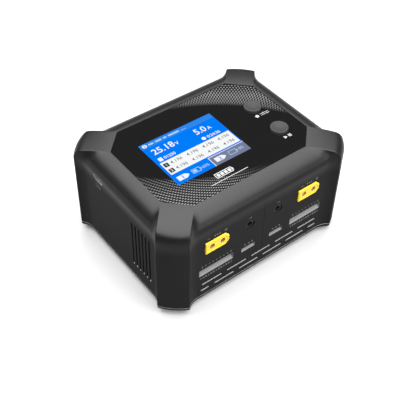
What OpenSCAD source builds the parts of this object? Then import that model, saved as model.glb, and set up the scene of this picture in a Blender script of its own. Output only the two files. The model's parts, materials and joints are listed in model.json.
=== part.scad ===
// Two-channel balance charger. Origin: centre of the feet's contact plane.
// X runs along the front, -Y is the socket side, +Z is up.

/* [Body] */
// Width across the corner pads
body_w = 135; // [134:0.5:136]
// Depth across the corner pads
body_d = 105; // [104:0.5:106]
// Height from the table to the top of the buttons
body_h = 68; // [67.5:0.5:69]
// Height of the rubber feet
foot_h = 3.8; // [3.4:0.1:4]
// Thickness of the base cover's plate
base_t = 2.4; // [2:0.2:2.6]
// Wall thickness of the housing
wall = 2.2; // [2:0.1:2.4]
// How far the walls lie behind the corner pads
wall_recess = 3.2; // [2.8:0.1:3.4]
// Corner pad's chamfer, measured along the front
pad_x = 13.5; // [13:0.25:14]
// Corner pad's chamfer, measured along the side
pad_y = 12.2; // [11.75:0.25:12.75]
// Radius of the rolled edge between the cap and the walls
roll_r = 7; // [6:0.5:7]

/* [Control panel] */
// Width of the panel
panel_w = 104; // [102:1:104]
// Depth of the panel
panel_d = 73.4; // [72:0.2:74]
// Chamfer on the panel's corners
panel_corner = 12.4; // [12:0.2:13]
// Visible width of the screen
screen_w = 50.8; // [50:0.2:52]
// Visible depth of the screen
screen_d = 39; // [38:0.2:40]
// Diameter of a button
button_dia = 11.2; // [10.8:0.2:11.6]
// How far a button travels
button_travel = 0.6; // [0.4:0.1:0.6]

/* [Sockets] */
// Width of an output socket
output_w = 16; // [15.8:0.1:16.2]
// Height of an output socket
output_h = 8.1; // [8:0.1:8.2]
// Bore of an output contact
contact_bore = 3.5; // [3.5:0.1:3.6]
// Width of a balance socket's mouth
balance_w = 24.2; // [24:0.1:24.6]
// Height of a balance socket's mouth
balance_h = 5; // [4.8:0.1:5.2]
// Width of a signal socket's mouth
signal_w = 10; // [9.6:0.1:10.2]
// Height of a signal socket's mouth
signal_h = 3.2; // [3:0.1:3.4]

/* [Fan] */
// Side of the square fan frame
fan_size = 40; // [39.6:0.1:40]
// Number of blades on the rotor
fan_blades = 7; // [5:1:9]

/* [Hidden] */

$fn = 48;
eps = 0.01;

// Heights of the main levels
plate_z = foot_h + base_t;
button_rise = 2;
panel_t = 1;
panel_z = body_h - button_rise - panel_t;
cap_z = panel_z + panel_t + 0.4;
deck_t = 0.8;
deck_z = panel_z - deck_t;
pcb_t = 1.6;
supply_z = plate_z + 3.6;
supply_top = supply_z + pcb_t;
charge_z = supply_z + 23;
charge_top = charge_z + pcb_t;
display_z = deck_z - 7.4;
display_top = display_z + pcb_t;

// Plan of the body: half sizes over the pads and over the recessed walls
half_w = body_w / 2;
half_d = body_d / 2;
wall_x = half_w - wall_recess;
wall_y = half_d - wall_recess;
inner_x = wall_x - wall;
inner_y = wall_y - wall;
blend_run = 8;
pad_bow = 1.2;
pad_roll = 6.4;
post_cut = 12;

// Cap: a wide crown that tilts to crown_tilt, then the rolled edge
crown_tilt = 48;
crown_start = 0.3;
blend_top = cap_z - 9.6;

// Screen and buttons
screen_x = -11.6;
button_x = 37.9;
setting_y = 8.2;
start_y = -16.1;
button_gap = 0.3;
flange_z = deck_z - 1.1;
stem_r = 1.7;
switch_h = 3.5;
stem_h = 1.5;
stem_top = display_top + switch_h + 0.8;

// Front sockets: offsets from the middle, and heights
output_x = 33.4;
output_z = foot_h + 40.6;
output_corner = 2.4;
contact_pitch = 7.2;
contact_r = 2.25;
balance_x = 33.2;
balance_z = foot_h + 22.1;
balance_pins = 9;
balance_pitch = 2.5;
signal_x = 10.3;
signal_z = foot_h + 21.4;
signal_pins = 3;
signal_pitch = 2.54;
pin_side = 0.64;
jack_x = 10.2;
jack_z = foot_h + 39.9;
jack_r = 3.15;
port_y = -wall_y + 8.7;
port_back = port_y + pcb_t;
port_low = foot_h + 8;
port_high = foot_h + 51;
port_half = 52;
seam_mid = foot_h + 33.5;
seam_h = 37;
seam_w = 0.2;
skin = 0.8;
socket_rim = 0.6;
socket_front = -wall_y + skin + 0.05;
socket_floor = port_y - 1.6;
usb_y = 20.2;
usb_w = 9;
usb_h = 3.2;

// Back: fan, mains inlet and direct-current input
fan_x = -20;
fan_z = foot_h + 29;
fan_t = 10;
fan_bore_r = 19;
fan_hub_r = 8;
fan_screw_at = 16;
fan_front = inner_y - fan_t;
shaft_r = 1;
inlet_x = 32;
inlet_z = foot_h + 37;
dc_z = foot_h + 17;

// Ventilation slots
vent_len = 14.4;
vent_h = 1;
vent_pitch = 18;
vent_upper = foot_h + 11.8;
vent_lower = foot_h + 7;
vent_span = 44;
side_vent_y = -21.6;
side_vent_pitch = 3.26;
side_vent_w = 1.3;
side_vent_low = foot_h + 11;
side_vent_high = foot_h + 45;
side_vent_count = 6;

// Fasteners and their places
screw_x = 58;
screw_y = 44;
thread_r = 1.3;
machine_r = 1.45;
machine_hole = 1.6;
head_r = 2.75;
head_h = 1.8;
board_edge_x = 54;
board_front = -37;
board_back = 30;
board_fix = [[-50, -33], [50, -33], [-50, 26], [50, 26]];
display_fix = [[-50, 32], [-50, -32], [44, 32], [44, -32]];
port_fix = [[-48, foot_h + 32], [48, foot_h + 32], [0, foot_h + 16], [0, foot_h + 46]];
foot_x = 46;
foot_y = 34;

housing_grey = [0.2, 0.2, 0.2];
deep_black = [0.06, 0.06, 0.06];
board_green = [0.05, 0.3, 0.15];
nylon_grey = [0.62, 0.62, 0.6];
plug_yellow = [0.98, 0.82, 0.1];
contact_gold = [0.83, 0.66, 0.3];
bright_metal = [0.72, 0.72, 0.74];

// ---- outlines -------------------------------------------------------------

// Half the cap's outline, from the crown's start down to the level low
function cap_half(flat, side, top, low) =
    let (crown_r = (side - flat - roll_r * (1 - sin(crown_tilt))) / sin(crown_tilt))
    let (roll_foot = top - crown_r * (1 - cos(crown_tilt)) - roll_r * cos(crown_tilt))
    concat(
        [for (a = [0 : 8 : crown_tilt]) [flat + crown_r * sin(a), top - crown_r * (1 - cos(a))]],
        [for (a = [55 : 7 : 90]) [side - roll_r * (1 - sin(a)), roll_foot + roll_r * cos(a)]],
        [[side, low]]);

function mirrored(points) =
    [for (i = [len(points) - 1 : -1 : 0]) [-points[i][0], points[i][1]]];

// Outer face of a corner pad in plan: a shallow arc between the chamfer's two corners
pad_a = [half_w, half_d - pad_y];
pad_b = [half_w - pad_x, half_d];
pad_mid = (pad_a + pad_b) / 2;
pad_out = [pad_y, pad_x] / norm([pad_y, pad_x]);
pad_angle = atan2(pad_x, pad_y);
pad_half = norm(pad_a - pad_b) / 2;
pad_r = (pad_half * pad_half + pad_bow * pad_bow) / (2 * pad_bow);
pad_sweep = asin(pad_half / pad_r);

function pad_arc() = [for (a = [-1 : 0.25 : 1])
    pad_mid - pad_out * (pad_r - pad_bow)
        + pad_r * [cos(pad_angle + a * pad_sweep), sin(pad_angle + a * pad_sweep)]];

// Blend from a wall out to its pad, as [distance along the wall, distance out of it]
blend_sweep = 2 * atan(wall_recess / blend_run);
blend_r = blend_run / sin(blend_sweep);
blend = [for (i = [0 : 4]) blend_r * [sin(blend_sweep * i / 4), 1 - cos(blend_sweep * i / 4)]];

// The body's plan where x and y are positive
module quarter_plan() {
    polygon(concat(
        [[0, 0], [wall_x, 0]],
        [for (i = [0 : 3]) [wall_x + blend[i][1], pad_a[1] - blend_run + blend[i][0]]],
        pad_arc(),
        [for (i = [3 : -1 : 0]) [pad_b[0] - blend_run + blend[i][0], wall_y + blend[i][1]]],
        [[0, wall_y]]));
}

module plan_solid(low, high) {
    translate([0, 0, low]) linear_extrude(high - low)
        for (mx = [0, 1], my = [0, 1]) mirror([mx, 0, 0]) mirror([0, my, 0]) quarter_plan();
}

module octagon(w, d, corner) {
    polygon([[-w / 2 + corner, -d / 2], [w / 2 - corner, -d / 2], [w / 2, -d / 2 + corner],
        [w / 2, d / 2 - corner], [w / 2 - corner, d / 2], [-w / 2 + corner, d / 2],
        [-w / 2, d / 2 - corner], [-w / 2, -d / 2 + corner]]);
}

// A two-pole power plug: square at one end, chamfered at the other
module plug_outline(w, h, corner) {
    polygon([[-w / 2, -h / 2], [w / 2 - corner, -h / 2], [w / 2, -h / 2 + corner],
        [w / 2, h / 2 - corner], [w / 2 - corner, h / 2], [-w / 2, h / 2]]);
}

// ---- building blocks ------------------------------------------------------

module at_corners() {
    for (mx = [0, 1], my = [0, 1]) mirror([mx, 0, 0]) mirror([0, my, 0]) children();
}

module at_points(points, z) {
    for (p = points) translate([p[0], p[1], z]) children();
}

// A block centred on x and z that runs from one depth to another
module block_y(x, z, w, h, from, to) {
    translate([x - w / 2, from, z - h / 2]) cube([w, to - from, h]);
}

module rod_y(x, z, r, from, to) {
    translate([x, from, z]) rotate([-90, 0, 0]) cylinder(r = r, h = to - from);
}

module plug_y(x, z, w, h, corner, from, to) {
    translate([x, to, z])
        rotate([90, 0, 0])
            linear_extrude(to - from) plug_outline(w, h, corner);
}

// A screw boss that stands along Z, with a blind bore in its lower end
module boss(r, h, bore, depth) {
    difference() {
        cylinder(r = r, h = h);
        translate([0, 0, -eps]) cylinder(r = bore, h = depth);
    }
}

module pan_screw(shank_r, length, head) {
    translate([0, 0, -length]) cylinder(r = shank_r, h = length);
    cylinder(r = head, h = head_h);
}

// ---- casing ---------------------------------------------------------------

module cap_along_x(flat, side, top, low) {
    half = cap_half(flat, side, top, low);
    rotate([90, 0, 90])
        translate([0, 0, -body_w])
            linear_extrude(2 * body_w) polygon(concat(half, mirrored(half)));
}

// The body between the recessed walls, shrunk by inset
module crowned_block(inset, top, low) {
    intersection() {
        cap_along_x(panel_d / 2 + crown_start - inset / 2, wall_y - inset, top, low);
        rotate([0, 0, 90])
            cap_along_x(panel_w / 2 + crown_start - inset / 2, wall_x - inset, top, low);
    }
}

// One corner pad: it slopes gently from the panel, then rolls over its outer face
module corner_pad() {
    shoulder = cap_z - 1.4;
    roll_start = 12;
    foot_z = shoulder - pad_roll * cos(roll_start);
    section = concat(
        [[-25, plate_z], [-25, cap_z], [-12, cap_z - 0.5]],
        [for (a = [roll_start : 13 : 90])
            [pad_bow - pad_roll * (1 - sin(a)), foot_z + pad_roll * cos(a)]],
        [[pad_bow, plate_z]]);
    intersection() {
        translate([0, 0, plate_z])
            linear_extrude(body_h)
                polygon(concat([[panel_w / 2, panel_d / 2 - panel_corner]], pad_arc(),
                    [[panel_w / 2 - panel_corner, panel_d / 2]]));
        translate([pad_mid[0], pad_mid[1], 0])
            rotate([90, 0, pad_angle])
                translate([0, 0, -20])
                    linear_extrude(40) polygon(section);
    }
}

module inner_space() {
    intersection() {
        crowned_block(wall, deck_z, plate_z - 1);
        translate([0, 0, plate_z - 1])
            linear_extrude(body_h) octagon(2 * inner_x, 2 * inner_y, post_cut);
    }
}

// Openings in the front wall for one channel; side is -1 on the left and 1 on the right
module channel_cuts(side) {
    inside = -inner_y + eps;
    plug_y(side * output_x, output_z, output_w + 0.6, output_h + 0.6, output_corner, -half_d, inside);
    block_y(side * balance_x, balance_z, balance_w, balance_h, -half_d, inside);
    block_y(side * balance_x, balance_z, balance_w + 2, balance_h + 2, -wall_y + skin, inside);
    block_y(side * signal_x, signal_z, signal_w, signal_h, -half_d, inside);
    block_y(side * signal_x, signal_z, signal_w + 2, signal_h + 2, -wall_y + skin, inside);
    rod_y(side * jack_x, jack_z, jack_r + 0.1, -half_d, inside);
}

module vent_row(z, shift) {
    for (i = [-3 : 2]) {
        left = max(i * vent_pitch + shift - vent_len / 2, -vent_span);
        right = min(i * vent_pitch + shift + vent_len / 2, vent_span);
        if (right - left > 2)
            block_y((left + right) / 2, z, right - left, vent_h, -half_d, -inner_y + eps);
    }
}

module side_vents() {
    for (i = [0 : side_vent_count - 1])
        translate([inner_x - eps,
            side_vent_y + (i - (side_vent_count - 1) / 2) * side_vent_pitch - side_vent_w / 2,
            side_vent_low])
            cube([wall_recess + wall, side_vent_w, side_vent_high - side_vent_low]);
}

// Paired slots in front of the fan, shortened to its round bore
module fan_grille() {
    for (i = [-4 : 4], part = [-1, 1]) {
        reach = sqrt(pow(fan_bore_r - 1, 2) - pow(4 * i, 2));
        block_y(fan_x + part * (reach + 1) / 2, fan_z + 4 * i, reach - 1, 2.4, inner_y - eps, half_d);
    }
}

module fan_corners() {
    for (sx = [-1, 1], sz = [-1, 1])
        translate([fan_x + sx * fan_screw_at, 0, fan_z + sz * fan_screw_at]) children();
}

module top_housing() {
    color(housing_grey) {
        difference() {
            union() {
                intersection() {
                    crowned_block(0, cap_z, plate_z);
                    plan_solid(plate_z, cap_z);
                }
                at_corners() corner_pad();
                plan_solid(plate_z, blend_top);
            }
            inner_space();
            translate([0, 0, panel_z])
                linear_extrude(body_h) octagon(panel_w + 0.2, panel_d + 0.2, panel_corner);
            translate([screen_x - screen_w / 2 - 1, -screen_d / 2 - 1, deck_z - 1])
                cube([screen_w + 2, screen_d + 2, 3]);
            for (y = [setting_y, start_y])
                translate([button_x, y, deck_z - 1]) cylinder(d = button_dia + 2 * button_gap, h = 3);
            for (side = [-1, 1]) channel_cuts(side);
            block_y(0, seam_mid, seam_w, seam_h, -half_d, -wall_y + seam_w);
            vent_row(vent_upper, 0);
            vent_row(vent_lower, vent_pitch / 2);
            for (mx = [0, 1]) mirror([mx, 0, 0]) side_vents();
            translate([-half_w, usb_y - usb_w / 2 - 0.1, display_z - usb_h - 0.1])
                cube([wall_recess + wall + 3, usb_w + 0.2, usb_h + 0.2]);
            fan_grille();
            fan_corners() rod_y(0, 0, machine_hole, inner_y - eps, half_d);
            block_y(inlet_x, inlet_z, 22.4, 14.4, inner_y - eps, half_d);
            block_y(inlet_x, dc_z, 17, 9, inner_y - eps, half_d);
            at_corners() translate([screw_x, screw_y, plate_z - 1]) cylinder(r = thread_r + 0.05, h = 14);
        }
        at_points(display_fix, display_top)
            boss(3, deck_z - display_top + 0.3, machine_r + 0.05, 4);
        for (p = port_fix)
            translate([p[0], port_y, p[1]])
                rotate([90, 0, 0]) boss(3, inner_y + port_y + 0.2, machine_r + 0.05, 4.5);
    }
}

module base_cover() {
    color(deep_black)
        difference() {
            union() {
                plan_solid(foot_h, plate_z);
                translate([0, 0, plate_z])
                    linear_extrude(2)
                        difference() {
                            octagon(2 * inner_x - 0.4, 2 * inner_y - 0.4, post_cut + 0.2);
                            octagon(2 * inner_x - 3.6, 2 * inner_y - 3.6, post_cut);
                        }
                at_points(board_fix, plate_z) cylinder(r = 3.5, h = supply_z - plate_z);
            }
            at_points(board_fix, plate_z + 0.8) cylinder(r = machine_r + 0.05, h = supply_z);
            at_corners() translate([screw_x, screw_y, foot_h - 1]) cylinder(r = 1.5, h = 10);
            at_corners() translate([screw_x, screw_y, foot_h - 1]) cylinder(r = 3, h = 2.3);
            for (row = [-1, 1], i = [-4 : 4])
                translate([i * 7 - 1, row * 10 - 8, foot_h - 1]) cube([2, 16, base_t + 2]);
        }
}

module foot(sx, sy) {
    color(deep_black)
        translate([sx * foot_x, sy * foot_y, 0]) cylinder(r1 = 5.6, r2 = 6.4, h = foot_h);
}

module foot_front_left() { foot(-1, -1); }

module foot_front_right() { foot(1, -1); }

module foot_back_left() { foot(-1, 1); }

module foot_back_right() { foot(1, 1); }

module housing_screws() {
    color(bright_metal)
        at_corners() translate([screw_x, screw_y, 0]) {
            translate([0, 0, foot_h + 1.3]) cylinder(r = thread_r, h = 12.2);
            translate([0, 0, foot_h + 0.2]) cylinder(r = 2.9, h = 1.1);
        }
}

// ---- control panel --------------------------------------------------------

module control_panel() {
    color(deep_black)
        difference() {
            translate([0, 0, panel_z]) linear_extrude(panel_t) octagon(panel_w, panel_d, panel_corner);
            translate([screen_x - screen_w / 2, -screen_d / 2, panel_z - 1])
                cube([screen_w, screen_d, panel_t + 2]);
            for (y = [setting_y, start_y])
                translate([button_x, y, panel_z - 1]) cylinder(d = button_dia + 2 * button_gap, h = 3);
        }
}

module screen_lens() {
    color([0.1, 0.4, 0.9])
        translate([screen_x - screen_w / 2, -screen_d / 2, panel_z])
            cube([screen_w, screen_d, panel_t]);
}

module lcd_module() {
    bezel_w = screen_w + 9.2;
    bezel_d = screen_d + 8;
    color(bright_metal) {
        translate([screen_x - bezel_w / 2, -bezel_d / 2, display_top])
            cube([bezel_w, bezel_d, deck_z - display_top - 0.4]);
        translate([screen_x - screen_w / 2 - 0.8, -screen_d / 2 - 0.8, deck_z - 1])
            cube([screen_w + 1.6, screen_d + 1.6, panel_z - deck_z + 1]);
    }
}

module display_board() {
    color(board_green)
        difference() {
            translate([-60, -36, display_z]) cube([110, 72, pcb_t]);
            at_points(display_fix, display_z - 1) cylinder(r = machine_hole, h = pcb_t + 2);
        }
}

module button(y) {
    color([0.35, 0.35, 0.36])
        translate([button_x, y, 0]) {
            translate([0, 0, flange_z]) cylinder(d = button_dia, h = body_h - flange_z);
            translate([0, 0, flange_z]) cylinder(d = button_dia + 1.8, h = 0.8);
            translate([0, 0, stem_top]) cylinder(r = 2, h = flange_z - stem_top);
        }
}

module setting_button() { button(setting_y); }

module start_button() { button(start_y); }

module switch_case(y) {
    color(deep_black)
        difference() {
            translate([button_x - 3, y - 3, display_top]) cube([6, 6, switch_h]);
            translate([button_x, y, stem_top - stem_h - button_travel - 0.4])
                cylinder(r = stem_r + 0.1, h = switch_h);
        }
}

module setting_switch() { switch_case(setting_y); }

module start_switch() { switch_case(start_y); }

module switch_stem(y) {
    color([0.7, 0.15, 0.12])
        translate([button_x, y, stem_top - stem_h]) cylinder(r = stem_r, h = stem_h);
}

module setting_switch_stem() { switch_stem(setting_y); }

module start_switch_stem() { switch_stem(start_y); }

module usb_socket() {
    shell_x = -wall_x + 0.6;
    color(bright_metal) {
        difference() {
            translate([shell_x, usb_y - usb_w / 2, display_z - usb_h]) cube([7.4, usb_w, usb_h]);
            translate([shell_x - 1, usb_y - usb_w / 2 + 0.3, display_z - usb_h + 0.3])
                cube([7.4, usb_w - 0.6, usb_h - 0.6]);
        }
        translate([shell_x + 0.8, usb_y - 3.3, display_z - usb_h / 2 - 0.35]) cube([5.7, 6.6, 0.7]);
    }
}

// ---- front sockets --------------------------------------------------------

module port_board() {
    color(board_green)
        difference() {
            block_y(0, (port_low + port_high) / 2, 2 * port_half, port_high - port_low, port_y, port_back);
            for (p = port_fix) rod_y(p[0], p[1], machine_hole, port_y - 1, port_back + 1);
            for (side = [-1, 1], pole = [-0.5, 0.5])
                rod_y(side * output_x + pole * contact_pitch, output_z, 1.7, port_y - 1, port_back + 1);
        }
}

module output_socket(side) {
    color(plug_yellow)
        difference() {
            plug_y(side * output_x, output_z, output_w, output_h, output_corner, -wall_y - 0.8, port_y);
            for (pole = [-0.5, 0.5])
                rod_y(side * output_x + pole * contact_pitch, output_z, contact_r, -half_d, port_y + 1);
        }
}

module output_contacts(side) {
    mouth = -wall_y - 0.5;
    color(contact_gold)
        for (pole = [-0.5, 0.5])
            translate([side * output_x + pole * contact_pitch, 0, output_z])
                difference() {
                    union() {
                        rod_y(0, 0, contact_r, mouth, port_y);
                        rod_y(0, 0, 1.5, port_y, port_back + 1.4);
                    }
                    rod_y(0, 0, contact_bore / 2, mouth - 1, port_y - 1.4);
                }
}

module output_socket_left() { output_socket(-1); }

module output_socket_right() { output_socket(1); }

module output_contacts_left() { output_contacts(-1); }

module output_contacts_right() { output_contacts(1); }

module pin_row(x, z, pins, pitch, side, from, to) {
    for (i = [0 : pins - 1])
        block_y(x + (i - (pins - 1) / 2) * pitch, z, side, side, from, to);
}

// A pin header's box, open at the front, with a hole in its floor for each pin
module header(x, z, w, h, pins, pitch) {
    color(nylon_grey)
        difference() {
            block_y(x, z, w + 2 * socket_rim, h + 2 * socket_rim, socket_front, port_y);
            block_y(x, z, w, h, socket_front - 1, socket_floor);
            pin_row(x, z, pins, pitch, pin_side + 0.1, socket_floor - 1, port_y + 1);
        }
}

module header_pins(x, z, pins, pitch, front) {
    color(contact_gold) pin_row(x, z, pins, pitch, pin_side, front, port_y);
}

module balance_socket(side) {
    header(side * balance_x, balance_z, balance_w, balance_h, balance_pins, balance_pitch);
}

module balance_contacts(side) {
    header_pins(side * balance_x, balance_z, balance_pins, balance_pitch, port_y - 3.8);
}

module signal_socket(side) {
    header(side * signal_x, signal_z, signal_w, signal_h, signal_pins, signal_pitch);
}

module signal_contacts(side) {
    header_pins(side * signal_x, signal_z, signal_pins, signal_pitch, port_y - 5);
}

module balance_socket_left() { balance_socket(-1); }

module balance_socket_right() { balance_socket(1); }

module balance_pins_left() { balance_contacts(-1); }

module balance_pins_right() { balance_contacts(1); }

module signal_socket_left() { signal_socket(-1); }

module signal_socket_right() { signal_socket(1); }

module signal_pins_left() { signal_contacts(-1); }

module signal_pins_right() { signal_contacts(1); }

module sensor_jack(side) {
    color(deep_black)
        difference() {
            rod_y(side * jack_x, jack_z, jack_r, -wall_y + 0.6, port_y);
            rod_y(side * jack_x, jack_z, 1.8, -half_d, port_y - 1.4);
        }
}

module sensor_jack_left() { sensor_jack(-1); }

module sensor_jack_right() { sensor_jack(1); }

// ---- charge board ---------------------------------------------------------

module main_board(z) {
    color(board_green)
        difference() {
            translate([-board_edge_x, board_front, z])
                cube([2 * board_edge_x, board_back - board_front, pcb_t]);
            at_points(board_fix, z - 1) cylinder(r = machine_hole, h = pcb_t + 2);
        }
}

module charge_board() { main_board(charge_z); }

module board_link() {
    color(deep_black) translate([-20, port_back, charge_top]) cube([40, 5, 6]);
}

module heatsink() {
    color(bright_metal) {
        translate([-25, -7, charge_top]) cube([50, 30, 3]);
        for (i = [0 : 9]) translate([-25 + i * 5.4, -7, charge_top + 3 - eps]) cube([1.4, 30, 11]);
    }
}

module power_transistors() {
    color(deep_black)
        for (i = [-3.5 : 3.5]) translate([i * 7 - 2.6, -14.5, charge_top]) cube([5.2, 6, 1.2]);
}

// A toroid lying on the board, with its winding as a wider ring on a core
module toroid(x, y, z) {
    translate([x, y, z])
        rotate_extrude()
            translate([4.2, 0]) square([5.4, 9]);
}

module inductor_left() { color([0.55, 0.27, 0.12]) toroid(-38, -14, charge_top); }

module inductor_right() { color([0.55, 0.27, 0.12]) toroid(38, -14, charge_top); }

module output_capacitors() {
    color([0.15, 0.16, 0.3])
        for (i = [-1.5 : 1.5]) translate([i * 10, -24.5, charge_top]) cylinder(r = 4, h = 13);
}

module beeper() {
    color(deep_black)
        translate([38, 8, charge_top])
            difference() {
                cylinder(r = 6, h = 7);
                translate([0, 0, 3]) cylinder(r = 1.2, h = 5);
            }
}

// Flat ribbon that bows between the display board and the charge board
module display_ribbon() {
    bow = [for (i = [0 : 12]) [24 + 3 * sin(i * 15), charge_top + (display_z - charge_top) * i / 12]];
    color([0.85, 0.85, 0.82])
        translate([30, 0, 0])
            rotate([90, 0, 90])
                linear_extrude(14)
                    polygon(concat(bow, [for (i = [12 : -1 : 0]) bow[i] - [0.4, 0]]));
}

// ---- supply board ---------------------------------------------------------

module supply_board() { main_board(supply_z); }

module transformer() {
    color([0.75, 0.6, 0.2]) {
        translate([-27, -20, supply_top]) cube([26, 26, 5]);
        translate([-24, -20, supply_top + 5 - eps]) cube([20, 26, 10]);
        translate([-27, -20, supply_top + 15 - 2 * eps]) cube([26, 26, 4]);
    }
}

module bulk_capacitor() {
    color([0.1, 0.12, 0.25])
        translate([8, -22, supply_top + 8]) rotate([0, 90, 0]) cylinder(r = 8, h = 26);
}

module supply_heatsink() {
    color(bright_metal) {
        translate([-45, -26, supply_top]) cube([3, 46, 19]);
        translate([-42 - eps, -26, supply_top + 16]) cube([8, 46, 3]);
    }
}

module filter_choke() { color([0.5, 0.25, 0.1]) toroid(18, 4, supply_top); }

module fuse() {
    color([0.8, 0.8, 0.82])
        translate([26, 22, supply_top + 2.6]) rotate([0, 90, 0]) cylinder(r = 2.6, h = 20);
}

module board_spacers() {
    color(contact_gold)
        at_points(board_fix, 0) {
            difference() {
                translate([0, 0, supply_top]) cylinder(r = 3, h = charge_z - supply_top, $fn = 6);
                translate([0, 0, charge_z - 6.4]) cylinder(r = machine_r + 0.05, h = 10);
            }
            translate([0, 0, supply_top - 4]) cylinder(r = machine_r, h = 4 + eps);
        }
}

module board_screws() {
    color(bright_metal) {
        at_points(board_fix, charge_top) pan_screw(machine_r, 7.6, head_r);
        at_points(display_fix, display_z) rotate([180, 0, 0]) pan_screw(machine_r, 5, head_r);
        for (p = port_fix)
            translate([p[0], port_back, p[1]]) rotate([-90, 0, 0]) pan_screw(machine_r, 5.4, head_r);
    }
}

// ---- back -----------------------------------------------------------------

module mains_inlet() {
    pole = 4.3;
    back = wall_y + 1.6;
    color(deep_black)
        difference() {
            union() {
                block_y(inlet_x, inlet_z, 22, 14, 33, wall_y);
                block_y(inlet_x, inlet_z, 26, 18, wall_y, back);
            }
            for (s = [-1, 1]) rod_y(inlet_x + s * pole, inlet_z, 5, 40, back + 1);
            block_y(inlet_x, inlet_z, 2 * pole, 10, 40, back + 1);
        }
}

module inlet_pins() {
    color(bright_metal)
        for (s = [-1, 1]) {
            rod_y(inlet_x + s * 4.3, inlet_z, 1.2, 40, wall_y - 0.4);
            block_y(inlet_x + s * 4.3, inlet_z, 4, 0.8, 28, 33);
        }
}

module dc_input_socket() {
    mouth = wall_y + 1;
    color(plug_yellow)
        difference() {
            plug_y(inlet_x, dc_z, 16.6, 8.6, output_corner, 36, mouth);
            plug_y(inlet_x, dc_z, 14.6, 6.6, output_corner - 0.4, 41, mouth + 1);
        }
}

module dc_input_pins() {
    color(contact_gold)
        for (s = [-0.5, 0.5]) {
            rod_y(inlet_x + s * contact_pitch, dc_z, 1.75, 41, wall_y + 0.2);
            rod_y(inlet_x + s * contact_pitch, dc_z, 1.5, 32.6, 36);
        }
}

module fan_frame() {
    color(deep_black)
        difference() {
            union() {
                difference() {
                    block_y(fan_x, fan_z, fan_size, fan_size, fan_front, inner_y);
                    rod_y(fan_x, fan_z, fan_bore_r, fan_front - 1, inner_y + 1);
                }
                rod_y(fan_x, fan_z, fan_hub_r, fan_front, fan_front + 1.5);
                for (a = [90, 210, 330])
                    translate([fan_x, fan_front, fan_z])
                        rotate([0, a, 0])
                            translate([fan_hub_r - 1, 0, -1.2])
                                cube([fan_bore_r - fan_hub_r + 1.6, 1.5, 2.4]);
                rod_y(fan_x, fan_z, 2.6, fan_front + 1, fan_front + 6.3);
            }
            rod_y(fan_x, fan_z, 1.6, fan_front + 1.2, fan_front + 7);
            fan_corners() rod_y(0, 0, machine_hole, fan_front - 1, inner_y + 1);
        }
}

module fan_bearing() {
    color(contact_gold)
        difference() {
            rod_y(fan_x, fan_z, 1.6, fan_front + 1.2, fan_front + 6.3);
            rod_y(fan_x, fan_z, shaft_r + 0.05, fan_front + 1, fan_front + 7);
        }
}

module fan_shaft() {
    color(bright_metal) rod_y(fan_x, fan_z, shaft_r, fan_front + 1.7, fan_front + 8.4);
}

module fan_rotor() {
    low = 2.4;
    high = 8.6;
    color(deep_black)
        translate([fan_x, fan_front, fan_z])
            rotate([-90, 0, 0]) {
                difference() {
                    translate([0, 0, low]) cylinder(r = fan_hub_r, h = high - low);
                    translate([0, 0, low - 1]) cylinder(r = fan_hub_r - 1.4, h = high - low - 0.4);
                    translate([0, 0, low]) cylinder(r = shaft_r, h = high);
                }
                for (i = [0 : fan_blades - 1])
                    intersection() {
                        rotate([0, 0, i * 360 / fan_blades])
                            translate([13, 0, (low + high) / 2])
                                rotate([38, 0, 0]) cube([14, 1.1, 12], center = true);
                        difference() {
                            translate([0, 0, low + 0.3]) cylinder(r = fan_bore_r - 0.7, h = high - low - 0.6);
                            translate([0, 0, low - 1]) cylinder(r = fan_hub_r - 0.6, h = 12);
                        }
                    }
            }
}

module fan_screws() {
    color(bright_metal)
        fan_corners()
            translate([0, wall_y, 0]) rotate([-90, 0, 0]) pan_screw(machine_r, 11, head_r);
}

top_housing();
base_cover();
foot_front_left();
foot_front_right();
foot_back_left();
foot_back_right();
control_panel();
screen_lens();
lcd_module();
display_board();
setting_button();
start_button();
setting_switch();
start_switch();
setting_switch_stem();
start_switch_stem();
usb_socket();
port_board();
output_socket_left();
output_socket_right();
output_contacts_left();
output_contacts_right();
balance_socket_left();
balance_socket_right();
balance_pins_left();
balance_pins_right();
signal_socket_left();
signal_socket_right();
signal_pins_left();
signal_pins_right();
sensor_jack_left();
sensor_jack_right();
board_link();
charge_board();
heatsink();
power_transistors();
inductor_left();
inductor_right();
output_capacitors();
beeper();
display_ribbon();
supply_board();
transformer();
bulk_capacitor();
supply_heatsink();
filter_choke();
fuse();
board_spacers();
mains_inlet();
inlet_pins();
dc_input_socket();
dc_input_pins();
fan_frame();
fan_rotor();
fan_shaft();
fan_bearing();
housing_screws();
board_screws();
fan_screws();
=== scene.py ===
import json
import math

import bmesh
import bpy
from mathutils import Matrix, Vector


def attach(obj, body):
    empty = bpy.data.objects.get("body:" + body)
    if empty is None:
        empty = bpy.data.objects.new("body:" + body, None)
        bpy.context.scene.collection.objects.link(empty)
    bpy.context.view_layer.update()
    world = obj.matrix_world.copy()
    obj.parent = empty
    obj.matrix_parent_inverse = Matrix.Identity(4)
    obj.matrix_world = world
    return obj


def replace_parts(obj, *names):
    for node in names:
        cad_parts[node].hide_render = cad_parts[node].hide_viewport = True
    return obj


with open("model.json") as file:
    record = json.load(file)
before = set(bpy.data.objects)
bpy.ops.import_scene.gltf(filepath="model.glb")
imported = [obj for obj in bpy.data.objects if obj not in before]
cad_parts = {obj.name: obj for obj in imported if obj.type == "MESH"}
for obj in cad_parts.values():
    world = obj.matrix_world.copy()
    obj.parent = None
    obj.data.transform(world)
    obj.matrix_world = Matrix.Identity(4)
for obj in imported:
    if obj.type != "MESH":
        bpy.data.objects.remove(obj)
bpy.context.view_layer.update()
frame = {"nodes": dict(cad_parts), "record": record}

MM = 0.001
NODES = frame["nodes"]
BODY = "charger"

# ---- camera and stage ------------------------------------------------------

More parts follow.
